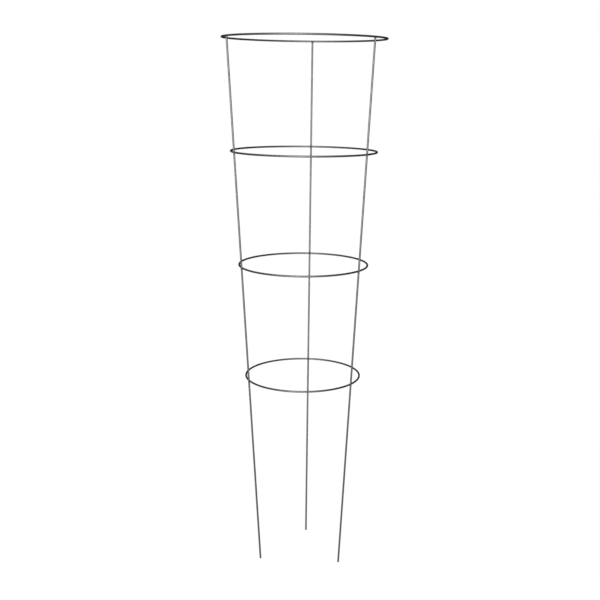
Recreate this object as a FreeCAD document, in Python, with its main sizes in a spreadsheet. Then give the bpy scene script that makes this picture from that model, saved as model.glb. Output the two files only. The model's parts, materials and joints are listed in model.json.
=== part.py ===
import FreeCAD, Part
import os
import Sketcher
from FreeCAD import Vector

# A tomato cage of galvanised steel wire, in millimetres, +Z up. The origin is on the ground, on the
# axis of the rings, and +Y points to the rear leg. Four level rings are welded to three straight legs
# that lean outwards. The top ring lies on the ends of the legs, and the other three lie against the
# inner side of the legs. Below the lowest ring the legs are bare stakes, cut square.

# The driving dimensions: alias, value, what it is
SIZES = (
    ("cage_height", 1371.6, "ground to the top of the top ring"),
    ("wire_diameter", 4.76, "every leg and ring is the same wire"),
    ("top_ring_diameter", 412.7, "outside diameter of the top ring"),
    ("foot_circle_diameter", 243.7, "circle through the legs' centre lines at the ground"),
    ("upper_ring_height", 1093.1, "ground to the ring's centre line"),
    ("middle_ring_height", 803.4, "ground to the ring's centre line"),
    ("lower_ring_height", 505.9, "ground to the ring's centre line"),
    ("rear_leg_angle", 90, "degrees round from +X"),
    ("leg_spacing_angle", 120, "degrees from one leg to the next"),
    ("cut_end_bevel", 0.3, "edge of a leg's foot, rounded off by the zinc"),
    ("top_ring_set_down_share", 0.3, "share of the wire's diameter that the weld sinks leg and ring"),
    ("upper_ring_set_down_share", 0.33, "the same, where the upper ring lies against the legs"),
    ("middle_ring_set_down_share", 0.05, "the same, at the middle ring, which barely sinks in"),
    ("lower_ring_set_down_share", 0.46, "the same, at the lower ring, which sinks in deepest"),
    ("weld_rim_overhang", 0.7, "how far a leg weld's squeezed rim stands out past the wire's radius"),
    ("weld_root_depth", 0.3, "fused metal past the set-down, into each wire"),
    ("weld_swell_reach", 1.45, "a leg is swollen by the heat this far past each side of a ring"),
    ("weld_swell_height", 0.15, "how much the swollen part of a leg grows on the radius"),
    ("butt_weld_angle", 150, "where each ring is closed, degrees round from +X"),
    ("butt_weld_gap", 1.0, "fused metal between the two ends of a ring's wire"),
    ("butt_collar_lap", 1.1, "how far the butt weld's collar laps each end of the wire"),
    ("butt_collar_step", 0.2, "height of the collar's edge over the wire"),
    ("butt_collar_crown", 0.3, "height of the collar's middle over its edge"),
)

# In their order round the cage, each one spacing further on than the last
LEGS = ("rear", "front_left", "front_right")
SIDE_RINGS = ("upper_ring", "middle_ring", "lower_ring")
RINGS = ("top_ring",) + SIDE_RINGS
FULL_TURN_ANGLE = 360
QUARTER_TURN_ANGLE = 90
UPWARDS = Vector(0, 0, 1)

doc = FreeCAD.newDocument("tomato_cage")


def make_size_sheet():
    """Write the driving dimensions into the document's spreadsheet."""
    sheet = doc.addObject("Spreadsheet::Sheet", "sizes")
    for row, (alias, value, meaning) in enumerate(SIZES, start=1):
        sheet.set(f"A{row}", alias)
        sheet.set(f"B{row}", str(value))
        sheet.set(f"C{row}", meaning)
        sheet.setAlias(f"B{row}", alias)
    doc.recompute()


def make_layout():
    """Work out, from the sheet, where the leg line runs and where each ring meets it."""
    values = doc.addObject("App::VarSet", "layout")

    def add(name, expression, kind="Float"):
        values.addProperty("App::Property" + kind, name, "layout", "worked out from the sizes")
        values.setExpression(name, expression)

    add("wire_radius", "sizes.wire_diameter / 2")
    for ring in RINGS:
        add(ring + "_set_down", f"sizes.wire_diameter * sizes.{ring}_set_down_share")
        # The fused disc takes up all that a swollen leg and this ring would share.
        swollen = f"{ring}_set_down + sizes.weld_swell_height"
        add(ring + "_rim_thickness", f"{swollen} + 2 * sizes.weld_root_depth")
    add("rim_radius", "wire_radius + sizes.weld_swell_height + sizes.weld_rim_overhang")
    add("foot_radius", "sizes.foot_circle_diameter / 2")
    add("top_ring_height", "sizes.cage_height - wire_radius")
    add("top_ring_radius", "sizes.top_ring_diameter / 2 - wire_radius")
    add("leg_slope", "(top_ring_radius - foot_radius) / top_ring_height")
    add("lean", "atan(leg_slope)", "Angle")
    for ring in SIDE_RINGS:
        add(ring + "_height", f"sizes.{ring}_height")
        add(ring + "_seat_offset", f"sizes.wire_diameter - {ring}_set_down")
        add(ring + "_radius", f"foot_radius + leg_slope * {ring}_height - {ring}_seat_offset")
    # The lowest edge of a leg's square cut end touches the ground.
    add("tip_height", "(wire_radius - sizes.cut_end_bevel) * sin(lean)")
    add("tip_radius", "foot_radius + leg_slope * tip_height")
    for ring in RINGS:
        add(ring + "_station", f"({ring}_height - tip_height) / cos(lean)")
        add(ring + "_gap_angle", f"sizes.butt_weld_gap / {ring}_radius * 180 / pi")
    # A leg's end sinks into the underside of the top ring.
    add("leg_length", "top_ring_station - wire_radius + top_ring_set_down")
    add("swell_reach", "wire_radius + sizes.weld_swell_reach")
    add("collar_reach", "sizes.butt_weld_gap / 2 + sizes.butt_collar_lap")
    add("collar_edge_radius", "wire_radius + sizes.butt_collar_step")
    doc.recompute()
    return values


make_size_sheet()
layout = make_layout()
sizes = doc.getObject("sizes")


def crown_radius(reach, height):
    """The radius of an arc that stands a height over a chord of twice the reach."""
    return f"({reach} ^ 2 + {height} ^ 2) / (2 * {height})"


class ProfileSketch:
    """A sketch in a body's XZ plane, drawn as a chain and held by named, bound constraints."""

    def __init__(self, body, name):
        self.sketch = body.newObject("Sketcher::SketchObject", name)
        plane = [part for part in body.Origin.OriginFeatures if part.Role == "XZ_Plane"][0]
        self.sketch.AttachmentSupport = [(plane, "")]
        self.sketch.MapMode = "FlatFace"

    def bind(self, name, constraint, expression):
        index = self.sketch.addConstraint(constraint)
        self.sketch.renameConstraint(index, name)
        self.sketch.setExpression(f"Constraints.{name}", expression)

    def join(self, first, first_end, second, second_end):
        self.sketch.addConstraint(
            Sketcher.Constraint("Coincident", first, first_end, second, second_end)
        )

    def align(self, direction, *where):
        self.sketch.addConstraint(Sketcher.Constraint(direction, *where))

    def line(self, start, end):
        return self.sketch.addGeometry(Part.LineSegment(Vector(*start, 0), Vector(*end, 0)))

    def arc(self, start, middle, end):
        points = [Vector(*point, 0) for point in (start, middle, end)]
        return self.sketch.addGeometry(Part.Arc(*points))

    def circle(self, centre, radius):
        return self.sketch.addGeometry(Part.Circle(Vector(*centre, 0), UPWARDS, radius))

    def height(self, name, geometry, end, expression):
        """Bind a point's height over the sketch's origin."""
        value = self.sketch.getPoint(geometry, end).y
        self.bind(name, Sketcher.Constraint("DistanceY", -1, 1, geometry, end, value), expression)

    def width(self, name, geometry, end, expression):
        """Bind a point's distance from the upright axis."""
        value = self.sketch.getPoint(geometry, end).x
        self.bind(name, Sketcher.Constraint("DistanceX", -1, 1, geometry, end, value), expression)

    def radius(self, name, geometry, expression):
        value = self.sketch.Geometry[geometry].Radius
        self.bind(name, Sketcher.Constraint("Radius", geometry, value), expression)


def revolve(body, profile, angle_expression=str(FULL_TURN_ANGLE)):
    """Turn a profile about the upright axis of its own body."""
    turned = body.newObject("PartDesign::Revolution", "turned")
    turned.Profile = profile.sketch
    turned.ReferenceAxis = (profile.sketch, ["V_Axis"])
    turned.setExpression("Angle", angle_expression)
    profile.sketch.Visibility = False
    doc.recompute()


def place(body, radius, height, angle, tilt):
    """Stand a body at a radius and height on a side of the cage, tilted outwards."""
    across = f"create(<<vector>>; ({radius}) * cos({angle}); ({radius}) * sin({angle}); {height})"
    turn = f"create(<<rotation>>; create(<<vector>>; 0; 0; 1); {angle})"
    lean = f"create(<<rotation>>; create(<<vector>>; 0; 1; 0); {tilt})"
    body.setExpression("Placement", f"create(<<placement>>; {across}; {turn} * {lean})")


def leg_angle(leg):
    return f"(sizes.rear_leg_angle + {LEGS.index(leg)} * sizes.leg_spacing_angle)"


def new_body(name):
    body = doc.addObject("PartDesign::Body", name)
    body.Label = name
    return body


def make_leg_wire(leg):
    """One straight wire, swollen a little where the heat of a ring's weld ran round it."""
    body = new_body(leg + "_leg_wire")
    profile = ProfileSketch(body, leg + "_leg_profile")
    radius = layout.wire_radius
    bevel = sizes.cut_end_bevel
    length = layout.leg_length
    reach = layout.swell_reach
    swell = sizes.weld_swell_height
    crown = crown_radius("layout.swell_reach", "sizes.weld_swell_height")

    foot = profile.line((0, 0), (radius - bevel, 0))
    edge = profile.line((radius - bevel, 0), (radius, bevel))
    profile.join(foot, 1, -1, 1)
    profile.align("Horizontal", foot)
    profile.join(foot, 2, edge, 1)
    profile.width("foot_width", foot, 2, "layout.wire_radius - sizes.cut_end_bevel")
    profile.width("wire_edge", edge, 2, "layout.wire_radius")
    profile.height("edge_height", edge, 2, "sizes.cut_end_bevel")

    below = edge
    level = bevel
    for ring in reversed(SIDE_RINGS):
        station = getattr(layout, ring + "_station")
        wall = profile.line((radius, level), (radius, station - reach))
        bulge = profile.arc(
            (radius, station - reach), (radius + swell, station), (radius, station + reach)
        )
        profile.join(below, 2, wall, 1)
        profile.align("Vertical", wall)
        profile.join(wall, 2, bulge, 1)
        profile.align("Vertical", bulge, 1, bulge, 2)
        profile.height(ring + "_below", bulge, 1, f"layout.{ring}_station - layout.swell_reach")
        profile.height(ring + "_above", bulge, 2, f"layout.{ring}_station + layout.swell_reach")
        profile.radius(ring + "_swell", bulge, crown)
        below = bulge
        level = station + reach

    wall = profile.line((radius, level), (radius, length))
    top = profile.line((radius, length), (0, length))
    axis = profile.line((0, length), (0, 0))
    profile.join(below, 2, wall, 1)
    profile.align("Vertical", wall)
    profile.join(wall, 2, top, 1)
    profile.align("Horizontal", top)
    profile.height("leg_end", wall, 2, "layout.leg_length")
    profile.join(top, 2, axis, 1)
    profile.join(axis, 2, foot, 1)
    profile.align("Vertical", axis)
    revolve(body, profile)
    place(body, "layout.tip_radius", "layout.tip_height", leg_angle(leg), "layout.lean")
    return body


def make_ring_wire(ring):
    """One wire bent to a circle, its two ends a weld's width apart."""
    body = new_body(ring + "_wire")
    profile = ProfileSketch(body, ring + "_profile")
    centre = (getattr(layout, ring + "_radius"), getattr(layout, ring + "_height"))
    section = profile.circle(centre, layout.wire_radius)
    profile.width("ring_radius", section, 3, f"layout.{ring}_radius")
    profile.height("ring_height", section, 3, f"layout.{ring}_height")
    profile.radius("wire_radius", section, "layout.wire_radius")
    gap = f"layout.{ring}_gap_angle"
    revolve(body, profile, f"{FULL_TURN_ANGLE} - {gap}")
    place(body, "0", "0", f"(sizes.butt_weld_angle + {gap} / 2)", "0")
    return body


def make_weld_rim(name, thickness_name):
    """The fused disc of a leg weld, with the round rim that is squeezed out between the wires."""
    body = new_body(name)
    profile = ProfileSketch(body, name + "_profile")
    half = getattr(layout, thickness_name) / 2
    flat = layout.rim_radius - half
    floor = profile.line((0, -half), (flat, -half))
    rim = profile.arc((flat, -half), (layout.rim_radius, 0), (flat, half))
    roof = profile.line((flat, half), (0, half))
    axis = profile.line((0, half), (0, -half))
    profile.join(floor, 2, rim, 1)
    profile.join(rim, 2, roof, 1)
    profile.join(roof, 2, axis, 1)
    profile.join(axis, 2, floor, 1)
    profile.align("Horizontal", floor)
    profile.align("Horizontal", roof)
    profile.align("Vertical", axis)
    profile.align("PointOnObject", floor, 1, -2)
    profile.align("Horizontal", rim, 3, -1, 1)
    profile.align("Vertical", rim, 1, rim, 2)
    profile.align("Vertical", rim, 1, rim, 3)
    profile.width("flat_width", rim, 1, f"layout.rim_radius - layout.{thickness_name} / 2")
    profile.height("roof_height", rim, 2, f"layout.{thickness_name} / 2")
    revolve(body, profile)
    return body


def make_leg_weld(ring, leg):
    """The spot weld of one leg on one ring."""
    weld = make_weld_rim(f"{ring}_{leg}_leg_weld", ring + "_rim_thickness")
    if ring == "top_ring":
        # The leg's end is under the ring, so the disc lies across the leg, half its set-down deep.
        along = "(layout.leg_length - layout.top_ring_set_down / 2)"
        radius = f"layout.tip_radius + sin(layout.lean) * {along}"
        height = f"layout.tip_height + cos(layout.lean) * {along}"
        place(weld, radius, height, leg_angle(leg), "layout.lean")
    else:
        # The ring lies against the leg's inner side, so the disc stands between the two.
        radius = f"layout.{ring}_radius + layout.{ring}_seat_offset / 2"
        place(weld, radius, f"layout.{ring}_height", leg_angle(leg), str(QUARTER_TURN_ANGLE))
    return weld


def make_butt_collar(ring):
    """The swollen collar round the joint that closes a ring, as a solid barrel along the wire."""
    body = new_body(ring + "_butt_barrel")
    profile = ProfileSketch(body, ring + "_butt_profile")
    reach = layout.collar_reach
    edge = layout.collar_edge_radius
    crown = crown_radius("layout.collar_reach", "sizes.butt_collar_crown")
    floor = profile.line((0, -reach), (edge, -reach))
    barrel = profile.arc((edge, -reach), (edge + sizes.butt_collar_crown, 0), (edge, reach))
    roof = profile.line((edge, reach), (0, reach))
    axis = profile.line((0, reach), (0, -reach))
    profile.join(floor, 2, barrel, 1)
    profile.join(barrel, 2, roof, 1)
    profile.join(roof, 2, axis, 1)
    profile.join(axis, 2, floor, 1)
    profile.align("Horizontal", floor)
    profile.align("Horizontal", roof)
    profile.align("Vertical", axis)
    profile.align("PointOnObject", floor, 1, -2)
    profile.align("Horizontal", barrel, 3, -1, 1)
    profile.align("Vertical", barrel, 1, barrel, 2)
    profile.radius("barrel_round", barrel, crown)
    profile.width("edge_width", barrel, 1, "layout.collar_edge_radius")
    profile.height("roof_height", barrel, 2, "layout.collar_reach")
    revolve(body, profile)
    across = (
        f"create(<<vector>>; layout.{ring}_radius * cos(sizes.butt_weld_angle);"
        f" layout.{ring}_radius * sin(sizes.butt_weld_angle); layout.{ring}_height)"
    )
    turn = "create(<<rotation>>; create(<<vector>>; 0; 0; 1); sizes.butt_weld_angle)"
    lie_down = f"create(<<rotation>>; create(<<vector>>; 1; 0; 0); {QUARTER_TURN_ANGLE})"
    body.setExpression("Placement", f"create(<<placement>>; {across}; {turn} * {lie_down})")
    return body


def cut(label, base, tools):
    """What is left of a piece once the pieces set into it are taken away."""
    tool = tools[0]
    if len(tools) > 1:
        tool = doc.addObject("Part::Compound", label + "_seats")
        tool.Links = tools
    piece = doc.addObject("Part::Cut", label)
    piece.Label = label
    piece.Base = base
    piece.Tool = tool
    return piece


def make_pieces():
    """Every separate piece of the cage, by the name that it is written under."""
    pieces = []
    welds = {(ring, leg): make_leg_weld(ring, leg) for ring in RINGS for leg in LEGS}
    for leg in LEGS:
        seats = [welds[ring, leg] for ring in RINGS]
        pieces.append(cut(leg + "_leg", make_leg_wire(leg), seats))
    for ring in RINGS:
        wire = make_ring_wire(ring)
        seats = [welds[ring, leg] for leg in LEGS]
        pieces.append(cut(ring, wire, seats))
        pieces.append(cut(ring + "_butt_weld", make_butt_collar(ring), [wire]))
    pieces.extend(welds.values())
    doc.recompute()
    return pieces


def check_document():
    """Stop if any object of the document failed to build."""
    for thing in doc.Objects:
        if "Invalid" in thing.State or "Error" in thing.State:
            raise RuntimeError(f"{thing.Label} failed: {thing.State}")


def check_piece(piece):
    """Stop if a piece isn't one sound solid."""
    shape = piece.Shape
    if shape.isNull() or not shape.isValid():
        raise RuntimeError(f"{piece.Label} has no valid shape")
    if len(shape.Solids) != 1:
        raise RuntimeError(f"{piece.Label} has {len(shape.Solids)} solids")


def write_pieces(pieces):
    """Write each piece to its own file."""
    os.makedirs("parts", exist_ok=True)
    for piece in pieces:
        piece.Shape.exportStep(f"parts/{piece.Label}.step")
        box = piece.Shape.BoundBox
        spans = (box.XLength, box.YLength, box.ZLength)
        sides = " x ".join(f"{span:.2f}" for span in spans)
        print(f"{piece.Label}: {sides} mm, {piece.Shape.Volume:.2f} mm3")


pieces = make_pieces()
check_document()
for piece in pieces:
    check_piece(piece)
write_pieces(pieces)
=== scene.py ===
"""A galvanised wire tomato cage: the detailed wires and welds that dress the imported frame."""

import json
import math

import bpy
from mathutils import Matrix, Vector


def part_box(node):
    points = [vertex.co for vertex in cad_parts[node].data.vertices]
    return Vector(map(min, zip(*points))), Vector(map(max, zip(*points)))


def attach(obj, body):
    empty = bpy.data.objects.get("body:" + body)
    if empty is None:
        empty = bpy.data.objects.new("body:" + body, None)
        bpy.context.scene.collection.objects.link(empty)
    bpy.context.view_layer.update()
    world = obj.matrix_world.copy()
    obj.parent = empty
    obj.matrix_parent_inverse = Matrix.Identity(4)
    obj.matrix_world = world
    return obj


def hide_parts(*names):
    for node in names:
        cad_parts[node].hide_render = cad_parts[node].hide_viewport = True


MM = 0.001
LEGS = ("rear", "front_left", "front_right")
SIDE_RINGS = ("upper_ring", "middle_ring", "lower_ring")
RINGS = ("top_ring",) + SIDE_RINGS

# The photograph, in pixels of its 600 x 600 frame
IMAGE_SIZE = 600
FOCAL_LENGTH_PIXELS = 967.1
OPTICAL_CENTRE_X = 328.3

# The camera, which stands a little to the side of the cage's own front
SENSOR_WIDTH = 36
CAMERA_SIDE = 0.0657
CAMERA_DISTANCE = 2.4633
CAMERA_HEIGHT = 1.2607
CAMERA_SWING = math.radians(4.227)
CAMERA_TILT = math.radians(-12.624)
CAMERA_ROLL = math.radians(0.702)

# The studio
SOFTBOX_WIDTH = 3.0
SOFTBOX_HEIGHT = 1.5
SOFTBOX_WATTS = 230
SOFTBOX_PLACE = (-0.8, -0.3, 2.4)
FILL_LEVEL = 0.003
BACKDROP_IN_DULL_METAL_SHARE = 0.01
FLOOR_REACH = 30
FLOOR_NEAR = 0.4
FLOOR_FAR = 1.6
FLOOR_GLOW_SHARE = 0.97
FLOOR_PAINT = (0.15, 0.15, 0.15, 1)
WHITE = (1, 1, 1, 1)

# How finely the wires are divided
WIRE_SIDES = 24
WIRE_STEP = 1.2 * MM
END_CIRCLES = 8
CROWDING_REACH = 14 * MM
CROWDING_POWER = 0.5
SHARP_ANGLE = math.radians(40)
# Points nearer the axis than this share of the radius lie on an end's face, not on the wire's side.
END_FACE_SHARE = 1 - 0.5 / END_CIRCLES
# No point counts as nearer the axis than these, so that nothing is divided by zero there.
WIRE_AXIS_SHARE = 0.01
BEAD_AXIS_SHARE = 0.0001

# The random marks: how much detail they have, and the value that they lie about
SOFT_DETAIL = 3
FINE_DETAIL = 4
NOISE_MIDDLE = 0.5

# What the spot welds leave on a wire: a swelling, a flat from the electrode and a scorched length
SWELL_HEIGHT = 0.15 * MM
SWELL_REACH = 3.5 * MM
FLAT_DEPTH = 0.18 * MM
FLAT_REACH = 4.5 * MM
SCORCH_REACH = 6.5 * MM

# What the shears leave on a foot: an edge rolled over on one side, a burr on the other, a torn middle
ROLLED_EDGE = 0.3 * MM
BURR_HEIGHT = 0.1 * MM
BURR_POWER = 6
CUT_TILT_SHARE = 0.06
TORN_DEPTH = 0.16 * MM
TORN_GRAIN = 0.7 * MM

# The beads squeezed out of the spot welds, and the drops frozen on their rims
BEAD_FINENESS = 5
BEAD_FACE_POWER = 0.7
BEAD_RIM_POWER = 0.36
BEAD_LUMP_SHARES = (0.30, 0.70)
BEAD_GRAIN_SHARES = (0.18, 0.16)
BEAD_LUMP_START = 0.3
BEAD_SEED_STEP = 7
DROP_RADIUS = 0.2 * MM
DROP_FINENESS = 2
DROP_SPREAD = 1.0 * MM
SMALLEST_DROP_SHARE = 0.3
DROPS_PER_SQUARE_METRE = 110000
RIM_START_SHARE = 0.75

# The collars of the butt welds that close the rings
BUTT_WELD_ANGLE = math.radians(150)
BUTT_WELD_GAP = 1.0 * MM
COLLAR_SIDES = 48
COLLAR_CIRCLES = 44
COLLAR_REACH = 1.6 * MM
COLLAR_STEP = 0.2 * MM
COLLAR_ROOT = 0.08 * MM
COLLAR_CROWN = 0.3 * MM
COLLAR_EDGE_POWER = 7
COLLAR_WOBBLE_SHARE = 0.3
COLLAR_LUMP_SHARE = 0.35
COLLAR_SEAM_SHARE = 0.22
# The crown's height is made up of an even part, the lumps and the seam.
COLLAR_CROWN_SHARES = (0.4, 0.4, 0.2)
COLLAR_SEED_STEP = 5

# The finishes: how wide their marks are, how deep, and their colours
DRAW_LINE_WIDTH = 0.35 * MM
DRAW_LINE_STRETCH_SHARES = (1, 1, 0.03)
SPANGLE_WIDTH = 2.2 * MM
CLOUD_WIDTH = 14 * MM
ZINC_GRAIN = 0.3 * MM
ZINC_METAL_SHARE = 0.95
ZINC_RELIEF = 0.03 * MM
SCALE_PATCH = 1.2 * MM
SCALE_GRAIN = 0.25 * MM
SCALE_RELIEF = 0.12 * MM
RUST_PATCH = 0.8 * MM
CUT_RELIEF = 0.08 * MM
ZINC = (0.310, 0.312, 0.306, 1)
ZINC_DULL = (0.285, 0.287, 0.281, 1)
ZINC_BRIGHT = (0.402, 0.404, 0.398, 1)
SCORCHED_ZINC = (0.140, 0.134, 0.126, 1)
WELD_METAL = (0.220, 0.214, 0.204, 1)
WELD_SCALE = (0.070, 0.064, 0.059, 1)
BARE_STEEL = (0.300, 0.290, 0.275, 1)
RUST = (0.110, 0.052, 0.026, 1)

# How strongly the marks show on the zinc
SCORCH_LEAST_SHARE = 0.4
SCORCH_GRAIN_SHARE = 0.8
DULL_LEAST_SHARE = 0.3
DULL_CLOUD_SHARE = 0.4
BRIGHT_FACET_SHARE = 0.15
BRIGHT_LINE_SHARE = 1.2
ZINC_ROUGHNESS = 0.55
FACET_ROUGHNESS = 0.08
GRAIN_ROUGHNESS = 0.2
SCORCH_ROUGHNESS = 0.15
SCORCH_METAL_LOSS_SHARE = 0.2
ZINC_RELIEF_SHARES = (0.5, 0.35, 0.15)

# How strongly they show on the weld metal
BARE_CONTRAST = 6
SCALE_ROUGHNESS = 0.7
BARE_SMOOTHNESS = 0.25
SCALE_METAL_SHARE = 0.65
BARE_METAL_SHARE = 0.3
SCALE_RELIEF_SHARES = (0.5, 0.5)

# How strongly they show on the cut steel
SMEAR_STRETCH_SHARES = (1, 0.15, 1)
RUST_CONTRAST = 4
MOST_RUST_SHARE = 0.8
CUT_ROUGHNESS = 0.4
RUST_ROUGHNESS = 0.4
CUT_RELIEF_SHARES = (0.6, 0.4)


class Value:
    """A socket of a node tree, to calculate with as if it were a number."""

    def __init__(self, graph, socket):
        self.graph = graph
        self.socket = socket

    def __add__(self, other):
        return self.graph.math("ADD", self, other)

    __radd__ = __add__

    def __sub__(self, other):
        return self.graph.math("SUBTRACT", self, other)

    def __rsub__(self, other):
        return self.graph.math("SUBTRACT", other, self)

    def __mul__(self, other):
        return self.graph.math("MULTIPLY", self, other)

    __rmul__ = __mul__

    def __truediv__(self, other):
        return self.graph.math("DIVIDE", self, other)

    def __pow__(self, other):
        return self.graph.math("POWER", self, other)

    def __abs__(self):
        return self.graph.math("ABSOLUTE", self)

    def __neg__(self):
        return self * -1

    def __lt__(self, other):
        return self.graph.math("LESS_THAN", self, other)

    def __gt__(self, other):
        return self.graph.math("GREATER_THAN", self, other)

    def smaller(self, other):
        return self.graph.math("MINIMUM", self, other)

    def larger(self, other):
        return self.graph.math("MAXIMUM", self, other)


class Graph:
    """A node tree that is written as expressions."""

    def __init__(self, tree):
        self.tree = tree

    def feed(self, socket, value):
        if isinstance(value, Value):
            self.tree.links.new(value.socket, socket)
        else:
            socket.default_value = value

    def add(self, kind, settings=None, inputs=None, output=0):
        """Add a node: its settings first, then its sockets. The result is one of its outputs."""
        node = self.tree.nodes.new(kind)
        for name, setting in (settings or {}).items():
            setattr(node, name, setting)
        for key, value in (inputs or {}).items():
            self.feed(node.inputs[key], value)
        return Value(self, node.outputs[output]) if node.outputs else node

    def math(self, operation, *values):
        return self.add("ShaderNodeMath", {"operation": operation}, dict(enumerate(values)))

    def vector(self, x, y, z):
        return self.add("ShaderNodeCombineXYZ", inputs={"X": x, "Y": y, "Z": z})

    def parts(self, vector):
        """The three components of a vector."""
        apart = self.add("ShaderNodeSeparateXYZ", inputs={"Vector": vector})
        return [Value(self, socket) for socket in apart.socket.node.outputs]

    def scaled(self, vector, shares):
        """A vector with each component times its own share."""
        inputs = {0: vector, 1: shares}
        return self.add("ShaderNodeVectorMath", {"operation": "MULTIPLY"}, inputs)

    def dot(self, first, second):
        inputs = {0: first, 1: second}
        return self.add("ShaderNodeVectorMath", {"operation": "DOT_PRODUCT"}, inputs, "Value")

    def length(self, vector):
        return self.add("ShaderNodeVectorMath", {"operation": "LENGTH"}, {0: vector}, "Value")

    def noise(self, place, width, detail=SOFT_DETAIL):
        """Soft random values about a half, in marks of about this width."""
        inputs = {"Vector": place, "Scale": 1 / width, "Detail": detail}
        return self.add("ShaderNodeTexNoise", inputs=inputs)

    def ramp(self, value, start, end, first, last):
        """Run smoothly from the first result at the start to the last at the end."""
        inputs = {"Value": value, "From Min": start, "From Max": end, "To Min": first, "To Max": last}
        return self.add("ShaderNodeMapRange", {"interpolation_type": "SMOOTHSTEP"}, inputs)

    def fade(self, distance, reach):
        """1 at no distance, falling smoothly to 0 at the reach."""
        return self.ramp(distance, 0, reach, 1, 0)


class Shape(Graph):
    """A Geometry Nodes tree with named inputs."""

    def __init__(self, name):
        super().__init__(bpy.data.node_groups.new(name, "GeometryNodeTree"))
        self.tree.interface.new_socket("Geometry", in_out="OUTPUT", socket_type="NodeSocketGeometry")
        self.entry = self.tree.nodes.new("NodeGroupInput")

    def input(self, name, kind="Float"):
        """Declare a named input and return it."""
        made = self.tree.interface.new_socket(name, in_out="INPUT", socket_type="NodeSocket" + kind)
        sockets = {socket.identifier: socket for socket in self.entry.outputs}
        return Value(self, sockets[made.identifier])

    def inputs(self, *names):
        return [self.input(name) for name in names]

    def tube(self, sides, circles, radius, length):
        """An upright closed tube about the origin."""
        inputs = {
            "Vertices": sides,
            "Side Segments": circles,
            "Fill Segments": END_CIRCLES,
            "Radius": radius,
            "Depth": length,
        }
        return self.add("GeometryNodeMeshCylinder", {"fill_type": "TRIANGLE_FAN"}, inputs, "Mesh")

    def ball(self, radius, fineness):
        inputs = {"Radius": radius, "Subdivisions": fineness}
        return self.add("GeometryNodeMeshIcoSphere", inputs=inputs)

    def position(self):
        return self.add("GeometryNodeInputPosition")

    def bent(self, across, beside, along, bend):
        """The place of a point of a straight wire once it is bent to a circle round the Z axis."""
        angle = along / bend
        reach = bend + across
        return self.vector(reach * self.math("COSINE", angle), reach * self.math("SINE", angle), -beside)

    def keep(self, geometry, name, kind, value):
        """Keep a value on every point under a name that the materials read."""
        inputs = {"Geometry": geometry, "Name": name, "Value": value}
        return self.add("GeometryNodeStoreNamedAttribute", {"data_type": kind}, inputs)

    def move(self, geometry, place, surface_place):
        """Move every point, and keep where it is on the surface."""
        body = self.keep(geometry, "surface_place", "FLOAT_VECTOR", surface_place)
        return self.add("GeometryNodeSetPosition", inputs={"Geometry": body, "Position": place})

    def paint(self, body, material, **chosen):
        inputs = {"Geometry": body, "Material": material, **chosen}
        return self.add("GeometryNodeSetMaterial", inputs=inputs)

    def end(self, body):
        out = self.tree.nodes.new("NodeGroupOutput")
        self.feed(out.inputs[0], body)

    def build(self, name, values):
        """Run the tree with these inputs and return the result as a plain mesh."""
        holder = bpy.data.objects.new(name + "_maker", bpy.data.meshes.new(name + "_maker"))
        bpy.context.scene.collection.objects.link(holder)
        modifier = holder.modifiers.new("shape", "NODES")
        modifier.node_group = self.tree
        for item in self.tree.interface.items_tree:
            if item.in_out == "INPUT":
                modifier[item.identifier] = values[item.name]
        graph = bpy.context.evaluated_depsgraph_get()
        made = holder.evaluated_get(graph)
        mesh = bpy.data.meshes.new_from_object(made, preserve_all_data_layers=True, depsgraph=graph)
        mesh.name = name
        bpy.data.objects.remove(holder)
        return mesh


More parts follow.
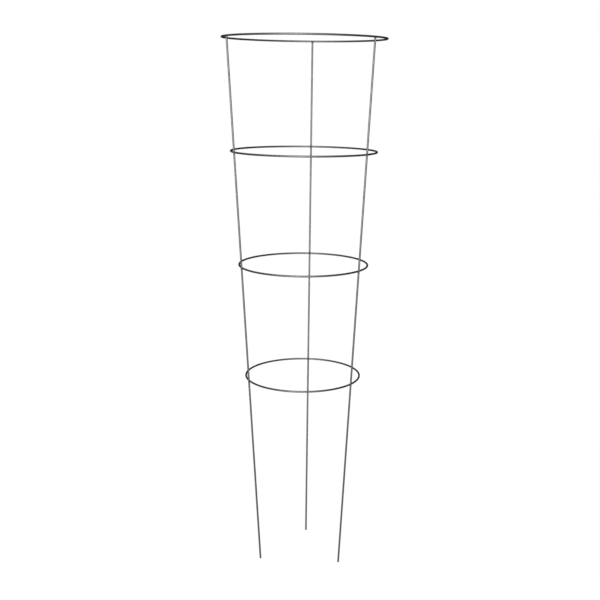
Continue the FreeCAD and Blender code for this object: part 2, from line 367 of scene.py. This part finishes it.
def make_wire_shape(is_bent):
    """A length of wire with its weld marks: straight, or bent to a circle round the Z axis."""
    shape = Shape("bent_wire" if is_bent else "straight_wire")
    length, radius, bend, swell_height = shape.inputs("Length", "Radius", "Bend Radius", "Swell Height")
    stations = shape.inputs("Weld 1", "Weld 2", "Weld 3")
    flat_side = shape.input("Flat Side", "Vector")
    material = shape.input("Material", "Material")
    foot_material = shape.input("Foot Material", "Material")
    tube = shape.tube(WIRE_SIDES, length / WIRE_STEP, radius, length)
    foot_faces = Value(shape, tube.socket.node.outputs["Bottom"])
    across, beside, upward = shape.parts(shape.position())
    share = shape.length(shape.vector(across, beside, 0)) / radius

    # The circles of points crowd together where the welds are.
    along = upward + length / 2
    at_foot = along < WIRE_STEP / 2
    distance = length - along
    if is_bent:
        distance = distance.smaller(along)
    for station in stations:
        offset = along - station
        along = station + offset * (abs(offset) / CROWDING_REACH).smaller(1) ** CROWDING_POWER
        distance = distance.smaller(abs(along - station))

    # The heat of a weld swells the wire, and the electrode presses one side of it flat.
    growth = 1 + (1 - (distance / SWELL_REACH) ** 2).larger(0) * swell_height / radius
    flat_level = radius - shape.fade(distance, FLAT_REACH) * FLAT_DEPTH
    stand = shape.dot(shape.vector(across, beside, 0), flat_side) * growth
    push = (flat_level - stand).smaller(0)
    side_x, side_y, _ = shape.parts(flat_side)

    # The circles of an end crowd towards its rim.
    spread = share.larger(WIRE_AXIS_SHARE) ** (CROWDING_POWER - 1)
    inward = 1 + (share < END_FACE_SHARE) * (spread - 1)
    share = share * inward
    across = across * growth * inward + push * side_x
    beside = beside * growth * inward + push * side_y
    if not is_bent:
        torn = shape.noise(shape.vector(across, beside, 0), TORN_GRAIN)
        rim = ((share - 1) * radius / ROLLED_EDGE + 1).larger(0)
        rolled = rim * rim * (1 + beside / radius) / 2
        burr = (-beside / radius).larger(0) ** BURR_POWER * rim
        lift = rolled * ROLLED_EDGE - burr * BURR_HEIGHT + (radius + beside) * CUT_TILT_SHARE
        along = along + at_foot * (lift + (1 - share * share) * torn * TORN_DEPTH)

    surface_place = shape.vector(across, beside, along)
    place = shape.bent(across, beside, along, bend) if is_bent else surface_place
    body = shape.keep(tube, "weld_distance", "FLOAT", distance)
    body = shape.move(body, place, surface_place)
    body = shape.add("GeometryNodeRealizeInstances", inputs={"Geometry": body})
    body = shape.paint(body, material)
    shape.end(shape.paint(body, foot_material, Selection=foot_faces))
    return shape


def make_bead_shape():
    """The metal squeezed out of a spot weld: a rough cushion, flat along Z, with drops on its rim."""
    shape = Shape("weld_bead")
    radius, thickness, seed = shape.inputs("Radius", "Thickness", "Seed")
    material = shape.input("Material", "Material")
    x, y, z = shape.parts(shape.position())
    seeded = shape.vector(x, y, z + seed * BEAD_SEED_STEP)
    short = 0
    for depth_share, width_share in (BEAD_LUMP_SHARES, BEAD_GRAIN_SHARES):
        lumps = shape.noise(seeded, width_share)
        short = (lumps - BEAD_LUMP_START).larger(0) * depth_share + short
    level = shape.math("SIGN", z) * abs(z) ** BEAD_FACE_POWER
    reach = (1 - level * level).larger(0) ** BEAD_RIM_POWER * radius * (1 - short)
    flat = shape.length(shape.vector(x, y, 0)).larger(BEAD_AXIS_SHARE)
    place = shape.vector(x / flat * reach, y / flat * reach, level * thickness / 2)
    body = shape.move(shape.ball(1.0, BEAD_FINENESS), place, place)

    rim_x, rim_y, _ = shape.parts(shape.position())
    on_rim = shape.length(shape.vector(rim_x, rim_y, 0)) > radius * RIM_START_SHARE
    spots = {"Mesh": body, "Selection": on_rim, "Density": DROPS_PER_SQUARE_METRE, "Seed": seed}
    points = shape.add("GeometryNodeDistributePointsOnFaces", inputs=spots)
    drop = shape.ball(DROP_RADIUS, DROP_FINENESS)
    drop = shape.keep(drop, "surface_place", "FLOAT_VECTOR", shape.position())
    size_share = SMALLEST_DROP_SHARE + shape.noise(shape.position(), DROP_SPREAD)
    placed = {"Points": points, "Instance": drop, "Scale": size_share}
    drops = shape.add("GeometryNodeInstanceOnPoints", inputs=placed)
    both = shape.add("GeometryNodeJoinGeometry", inputs={0: body})
    shape.feed(both.socket.node.inputs[0], drops)
    both = shape.add("GeometryNodeRealizeInstances", inputs={"Geometry": both})
    shape.end(shape.paint(both, material))
    return shape


def make_collar_shape():
    """The upset collar of a butt weld: a low uneven barrel round the wire with a seam in the middle."""
    shape = Shape("butt_collar")
    radius, bend, seed = shape.inputs("Radius", "Bend Radius", "Seed")
    material = shape.input("Material", "Material")
    tube = shape.tube(COLLAR_SIDES, COLLAR_CIRCLES, 1.0, 2.0)
    x, y, z = shape.parts(shape.position())
    share = shape.length(shape.vector(x, y, 0))
    round_x = x / share.larger(WIRE_AXIS_SHARE)
    round_y = y / share.larger(WIRE_AXIS_SHARE)
    seeded = shape.vector(round_x, round_y, z * COLLAR_LUMP_SHARE + seed * COLLAR_SEED_STEP)
    wobble = shape.noise(shape.vector(round_x, round_y, seed * COLLAR_SEED_STEP), 1.0)
    lumps = shape.noise(seeded, COLLAR_LUMP_SHARE)
    seam = shape.fade(abs(z + wobble - NOISE_MIDDLE), COLLAR_SEAM_SHARE)
    step = (1 - abs(z) ** COLLAR_EDGE_POWER) * (COLLAR_ROOT + COLLAR_STEP) - COLLAR_ROOT
    even_share, lump_share, seam_share = COLLAR_CROWN_SHARES
    crown = (1 - z * z) * COLLAR_CROWN * (even_share + lump_share * lumps + seam_share * seam)
    size = (radius + step + crown) * share
    along = z * COLLAR_REACH * (1 - COLLAR_WOBBLE_SHARE * wobble)
    surface_place = shape.vector(round_x * size, round_y * size, along)
    place = shape.bent(round_x * size, round_y * size, along, bend)
    body = shape.move(tube, place, surface_place)
    body = shape.add("GeometryNodeRealizeInstances", inputs={"Geometry": body})
    shape.end(shape.paint(body, material))
    return shape


class Finish(Graph):
    """The node tree of a material."""

    def __init__(self, name):
        self.material = bpy.data.materials.new(name)
        self.material.use_nodes = True
        super().__init__(self.material.node_tree)
        self.tree.nodes.clear()
        self.place = self.attribute("surface_place", "Vector")

    def attribute(self, name, output):
        return self.add("ShaderNodeAttribute", {"attribute_name": name}, output=output)

    def mix(self, share, first, second):
        """Two colours, mixed by the share of the second."""
        node = self.add("ShaderNodeMix", {"data_type": "RGBA"}, {"Factor": share}).socket.node
        colours = [socket for socket in node.inputs if socket.type == "RGBA"]
        self.feed(colours[0], first)
        self.feed(colours[1], second)
        return Value(self, [socket for socket in node.outputs if socket.type == "RGBA"][0])

    def surface(self, colour, metallic, roughness, relief, depth):
        """End the tree with a surface shader, and return the material."""
        bump = self.add("ShaderNodeBump", inputs={"Height": relief, "Distance": depth})
        inputs = {
            "Base Color": colour,
            "Metallic": metallic,
            "Roughness": roughness,
            "Normal": bump,
        }
        shader = self.add("ShaderNodeBsdfPrincipled", inputs=inputs)
        out = self.tree.nodes.new("ShaderNodeOutputMaterial")
        self.feed(out.inputs["Surface"], shader)
        return self.material


def make_zinc():
    """Drawn wire in a dull zinc coat: draw lines, faint spangle, and scorched beside the welds."""
    finish = Finish("galvanised_zinc")
    distance = finish.attribute("weld_distance", "Fac")
    drawn_out = finish.scaled(finish.place, DRAW_LINE_STRETCH_SHARES)
    lines = finish.noise(drawn_out, DRAW_LINE_WIDTH, FINE_DETAIL)
    clouds = finish.noise(finish.place, CLOUD_WIDTH)
    grain = finish.noise(finish.place, ZINC_GRAIN)
    cells = {"Vector": finish.place, "Scale": 1 / SPANGLE_WIDTH}
    crystals = finish.add("ShaderNodeTexVoronoi", inputs=cells, output="Color")
    facet, tint, _ = finish.parts(crystals)
    broken = SCORCH_LEAST_SHARE + SCORCH_GRAIN_SHARE * grain
    scorch = finish.fade(distance, SCORCH_REACH) * broken

    colour = finish.mix(DULL_LEAST_SHARE + DULL_CLOUD_SHARE * clouds, ZINC, ZINC_DULL)
    bright = BRIGHT_FACET_SHARE * facet + BRIGHT_LINE_SHARE * (lines - NOISE_MIDDLE).larger(0)
    colour = finish.mix(bright, colour, ZINC_BRIGHT)
    colour = finish.mix(scorch, colour, SCORCHED_ZINC)
    roughness = ZINC_ROUGHNESS + FACET_ROUGHNESS * (tint - NOISE_MIDDLE)
    roughness = roughness + GRAIN_ROUGHNESS * (grain - NOISE_MIDDLE) + SCORCH_ROUGHNESS * scorch
    line_share, grain_share, facet_share = ZINC_RELIEF_SHARES
    relief = lines * line_share + grain * grain_share + facet * facet_share + scorch * grain
    metallic = ZINC_METAL_SHARE - SCORCH_METAL_LOSS_SHARE * scorch
    return finish.surface(colour, metallic, roughness, relief, ZINC_RELIEF)


def make_weld_metal():
    """Metal squeezed out of a weld, under a broken skin of scale."""
    finish = Finish("weld_metal")
    patches = finish.noise(finish.place, SCALE_PATCH, FINE_DETAIL)
    grain = finish.noise(finish.place, SCALE_GRAIN, FINE_DETAIL)
    bare = ((patches - NOISE_MIDDLE) * BARE_CONTRAST).larger(0).smaller(1)
    colour = finish.mix(bare, WELD_SCALE, WELD_METAL)
    roughness = SCALE_ROUGHNESS - BARE_SMOOTHNESS * bare + GRAIN_ROUGHNESS * (grain - NOISE_MIDDLE)
    patch_share, grain_share = SCALE_RELIEF_SHARES
    relief = patches * patch_share + grain * grain_share
    metallic = SCALE_METAL_SHARE + BARE_METAL_SHARE * bare
    return finish.surface(colour, metallic, roughness, relief, SCALE_RELIEF)


def make_cut_steel():
    """The bare torn steel of a sheared end, with a first bloom of rust."""
    finish = Finish("cut_steel")
    smear = finish.noise(finish.scaled(finish.place, SMEAR_STRETCH_SHARES), ZINC_GRAIN)
    bloom = finish.noise(finish.place, RUST_PATCH, FINE_DETAIL)
    rust = ((bloom - NOISE_MIDDLE) * RUST_CONTRAST).larger(0).smaller(MOST_RUST_SHARE)
    colour = finish.mix(rust, BARE_STEEL, RUST)
    roughness = CUT_ROUGHNESS + RUST_ROUGHNESS * rust + GRAIN_ROUGHNESS * (smear - NOISE_MIDDLE)
    smear_share, bloom_share = CUT_RELIEF_SHARES
    relief = smear * smear_share + bloom * bloom_share
    return finish.surface(colour, 1 - rust, roughness, relief, CUT_RELIEF)


class Cage:
    """Where the frame has the wires and welds."""

    def __init__(self, record):
        self.stakes = {mount["name"]: mount for mount in record["mounts"]}
        self.wire_radius = self.stakes["rear_stake"]["dims"]["r_mm"] * MM
        self.ring_height = {}
        self.ring_radius = {}
        for ring in RINGS:
            low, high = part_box(ring)
            self.ring_radius[ring] = (high.x - low.x) / 2 - self.wire_radius
            self.ring_height[ring] = high.z - self.wire_radius

    def upwards(self, leg):
        """The unit vector up along a leg."""
        return -Vector(self.stakes[leg + "_stake"]["axis"]).normalized()

    def azimuth(self, leg):
        up = self.upwards(leg)
        return math.atan2(up.y, up.x)

    def outwards(self, leg):
        return Vector((math.cos(self.azimuth(leg)), math.sin(self.azimuth(leg)), 0))

    def leg_point(self, leg, height):
        """The point of a leg's centre line at a height."""
        known = Vector(self.stakes[leg + "_stake"]["pos_m"])
        up = self.upwards(leg)
        return known + up * ((height - known.z) / up.z)

    def foot(self, leg):
        """The middle of a leg's foot, whose lowest edge is on the ground."""
        up = self.upwards(leg)
        lean = math.hypot(up.x, up.y)
        return self.leg_point(leg, (self.wire_radius - ROLLED_EDGE) * lean)

    def leg_axes(self, leg):
        """A leg's own axes from its foot: X away from the cage, Y sideways and Z up the leg."""
        up = self.upwards(leg)
        sideways = up.cross(self.outwards(leg)).normalized()
        turn = Matrix((sideways.cross(up), sideways, up)).transposed().to_4x4()
        return Matrix.Translation(self.foot(leg)) @ turn

    def station(self, leg, height):
        """How far up a leg a height is."""
        return (self.leg_point(leg, height) - self.foot(leg)).length


def add_piece(mesh, place, node):
    """Put a finished mesh in the scene in place of a node of the frame."""
    mesh.transform(place)
    mesh.set_sharp_from_angle(angle=SHARP_ANGLE)
    piece = bpy.data.objects.new(mesh.name, mesh)
    bpy.context.scene.collection.objects.link(piece)
    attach(piece, "root")
    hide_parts(node)


def dress_legs(cage, zinc, cut_steel):
    """The three straight wires, from their sheared feet up into the top ring's welds."""
    shape = make_wire_shape(is_bent=False)
    for leg in LEGS:
        low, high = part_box(f"top_ring_{leg}_leg_weld")
        values = {
            "Length": cage.station(leg, (low.z + high.z) / 2),
            "Radius": cage.wire_radius,
            "Bend Radius": 0.0,
            "Swell Height": SWELL_HEIGHT,
            "Flat Side": (1.0, 0.0, 0.0),
            "Material": zinc,
            "Foot Material": cut_steel,
        }
        for count, ring in enumerate(SIDE_RINGS, start=1):
            values[f"Weld {count}"] = cage.station(leg, cage.ring_height[ring])
        mesh = shape.build(leg + "_leg_wire", values)
        add_piece(mesh, cage.leg_axes(leg), leg + "_leg")


def dress_rings(cage, zinc):
    """The four bent wires, each with its two ends a weld's width apart."""
    shape = make_wire_shape(is_bent=True)
    for ring in RINGS:
        bend = cage.ring_radius[ring]
        start = BUTT_WELD_ANGLE + BUTT_WELD_GAP / 2 / bend
        values = {
            "Length": math.tau * bend - BUTT_WELD_GAP,
            "Radius": cage.wire_radius,
            "Bend Radius": bend,
            "Swell Height": 0.0,
            "Flat Side": (0.0, -1.0, 0.0) if ring == "top_ring" else (-1.0, 0.0, 0.0),
            "Material": zinc,
            "Foot Material": zinc,
        }
        for count, leg in enumerate(LEGS, start=1):
            values[f"Weld {count}"] = (cage.azimuth(leg) - start) % math.tau * bend
        mesh = shape.build(ring + "_wire", values)
        height = Matrix.Translation((0, 0, cage.ring_height[ring]))
        add_piece(mesh, height @ Matrix.Rotation(start, 4, "Z"), ring)


def dress_butt_welds(cage, weld_metal):
    """The collars that close the rings, no two alike."""
    shape = make_collar_shape()
    for seed, ring in enumerate(RINGS, start=1):
        values = {
            "Radius": cage.wire_radius,
            "Bend Radius": cage.ring_radius[ring],
            "Seed": float(seed),
            "Material": weld_metal,
        }
        mesh = shape.build(ring + "_butt_collar", values)
        height = Matrix.Translation((0, 0, cage.ring_height[ring]))
        turn = Matrix.Rotation(BUTT_WELD_ANGLE, 4, "Z")
        add_piece(mesh, height @ turn, ring + "_butt_weld")


def bead_size(cage, ring):
    """The radius and thickness of a ring's weld beads, from the frame's disc at the rear leg."""
    low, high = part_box(ring + "_rear_leg_weld")
    radius = (high.x - low.x) / 2
    if ring == "top_ring":
        # The disc lies across the leaning leg, so its box is higher than it is thick.
        lean_share = cage.upwards("rear").y
        thickness = 2 * ((high.z - low.z) / 2 - radius * lean_share) / (1 - lean_share)
    else:
        thickness = high.y - low.y
    return radius, thickness


def dress_leg_welds(cage, weld_metal):
    """The beads that join the legs to the rings, no two alike."""
    shape = make_bead_shape()
    seed = 0
    for ring in RINGS:
        radius, thickness = bead_size(cage, ring)
        for leg in LEGS:
            seed += 1
            node = f"{ring}_{leg}_leg_weld"
            low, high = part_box(node)
            axis = cage.upwards(leg) if ring == "top_ring" else cage.outwards(leg)
            turn = axis.to_track_quat("Z", "Y").to_matrix().to_4x4()
            values = {
                "Radius": radius,
                "Thickness": thickness,
                "Seed": float(seed),
                "Material": weld_metal,
            }
            mesh = shape.build(node + "_bead", values)
            add_piece(mesh, Matrix.Translation((low + high) / 2) @ turn, node)


def white_seen(graph):
    """How much of the white background a ray sees. The wire is dull, so it shows the white dimly."""
    names = ("Is Camera Ray", "Is Transmission Ray", "Is Glossy Ray")
    straight, through, mirrored = [graph.add("ShaderNodeLightPath", output=name) for name in names]
    return straight.larger(through).larger(mirrored * BACKDROP_IN_DULL_METAL_SHARE)


def make_world():
    """A dim studio with a white background."""
    world = bpy.data.worlds.new("studio")
    bpy.context.scene.world = world
    world.use_nodes = True
    world.node_tree.nodes.clear()
    graph = Graph(world.node_tree)
    level = white_seen(graph).larger(FILL_LEVEL)
    background = graph.add("ShaderNodeBackground", inputs={"Color": WHITE, "Strength": level})
    out = graph.tree.nodes.new("ShaderNodeOutputWorld")
    graph.feed(out.inputs["Surface"], background)


def make_floor():
    """A white floor that keeps the cage's shadow and runs on into the background."""
    mesh = bpy.data.meshes.new("floor")
    signs = ((-1, -1), (1, -1), (1, 1), (-1, 1))
    corners = [(x * FLOOR_REACH, y * FLOOR_REACH, 0) for x, y in signs]
    mesh.from_pydata(corners, [], [range(len(corners))])
    floor = bpy.data.objects.new("floor", mesh)
    bpy.context.scene.collection.objects.link(floor)
    material = bpy.data.materials.new("white_floor")
    material.use_nodes = True
    material.node_tree.nodes.clear()
    graph = Graph(material.node_tree)
    distance = graph.length(graph.add("ShaderNodeTexCoord", output="Object"))
    glow_share = graph.ramp(distance, FLOOR_NEAR, FLOOR_FAR, FLOOR_GLOW_SHARE, 1)
    strength = white_seen(graph) * glow_share
    paint = graph.add("ShaderNodeBsdfDiffuse", inputs={"Color": FLOOR_PAINT})
    glow = graph.add("ShaderNodeEmission", inputs={"Color": WHITE, "Strength": strength})
    both = graph.add("ShaderNodeAddShader", inputs={0: paint, 1: glow})
    out = graph.tree.nodes.new("ShaderNodeOutputMaterial")
    graph.feed(out.inputs["Surface"], both)
    mesh.materials.append(material)


def make_camera():
    """The photograph's camera, a little lower than the top ring and looking down at the feet."""
    data = bpy.data.cameras.new("camera")
    data.sensor_width = SENSOR_WIDTH
    data.lens = FOCAL_LENGTH_PIXELS * SENSOR_WIDTH / IMAGE_SIZE
    data.shift_x = (IMAGE_SIZE / 2 - OPTICAL_CENTRE_X) / IMAGE_SIZE
    camera = bpy.data.objects.new("camera", data)
    bpy.context.scene.collection.objects.link(camera)
    camera.matrix_world = (
        Matrix.Rotation(CAMERA_SWING, 4, "Z")
        @ Matrix.Translation((CAMERA_SIDE, -CAMERA_DISTANCE, CAMERA_HEIGHT))
        @ Matrix.Rotation(math.pi / 2 + CAMERA_TILT, 4, "X")
        @ Matrix.Rotation(CAMERA_ROLL, 4, "Z")
    )
    bpy.context.scene.camera = camera
    return camera


def make_softbox(camera):
    """A large softbox behind the camera, which goes with it, so that every view is lit alike."""
    data = bpy.data.lights.new("softbox", "AREA")
    data.shape = "RECTANGLE"
    data.size = SOFTBOX_WIDTH
    data.size_y = SOFTBOX_HEIGHT
    data.energy = SOFTBOX_WATTS
    softbox = bpy.data.objects.new("softbox", data)
    bpy.context.scene.collection.objects.link(softbox)
    softbox.parent = camera
    softbox.location = SOFTBOX_PLACE


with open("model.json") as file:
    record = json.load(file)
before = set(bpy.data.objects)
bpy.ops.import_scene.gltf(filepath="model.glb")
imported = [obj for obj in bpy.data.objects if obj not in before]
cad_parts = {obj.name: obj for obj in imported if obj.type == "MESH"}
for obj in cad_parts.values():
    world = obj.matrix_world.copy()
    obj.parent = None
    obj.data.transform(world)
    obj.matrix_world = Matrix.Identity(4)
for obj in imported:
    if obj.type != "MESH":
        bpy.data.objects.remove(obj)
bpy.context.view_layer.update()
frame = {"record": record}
cage = Cage(frame["record"])
weld_metal = make_weld_metal()
zinc = make_zinc()
dress_legs(cage, zinc, make_cut_steel())
dress_rings(cage, zinc)
dress_butt_welds(cage, weld_metal)
dress_leg_welds(cage, weld_metal)
make_world()
make_floor()
make_softbox(make_camera())
bpy.context.scene.view_settings.view_transform = "Standard"
